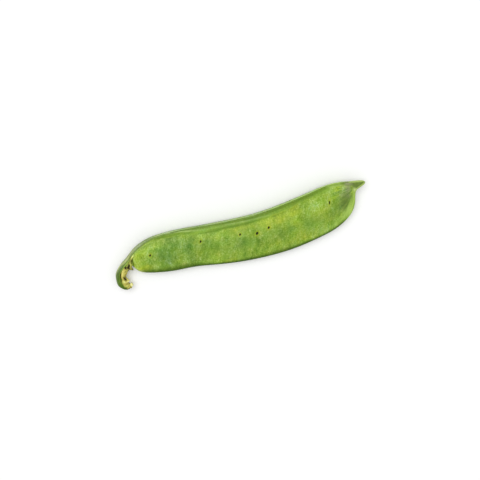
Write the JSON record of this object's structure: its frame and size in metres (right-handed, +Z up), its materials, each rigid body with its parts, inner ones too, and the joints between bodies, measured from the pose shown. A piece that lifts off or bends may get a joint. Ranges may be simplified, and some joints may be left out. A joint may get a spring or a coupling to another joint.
{
  "type": "flat bean pod",
  "caption": "Flat green bean pod lying on a broad side, with a ribbed seam edge, a hooked neck with its dried calyx and torn stalk, and a pointed beak.",
  "frame": {"origin": "on the surface that the pod lies on, under the middle of its bounding box", "axes": "+X along the pod to its beak, +Y across it to the seam edge, +Z up out of its upper broad side"},
  "size_m": [0.1216, 0.0294, 0.0083],
  "materials": {
    "green_skin": "waxy fresh plant skin, satin",
    "dry_calyx": "dry papery plant sheet, matte",
    "dry_stalk": "dry torn plant fibre, matte"
  },
  "bodies": {
    "root": {"pod": "green_skin", "calyx": "dry_calyx", "stalk": "dry_stalk"}
  },
  "joints": []
}
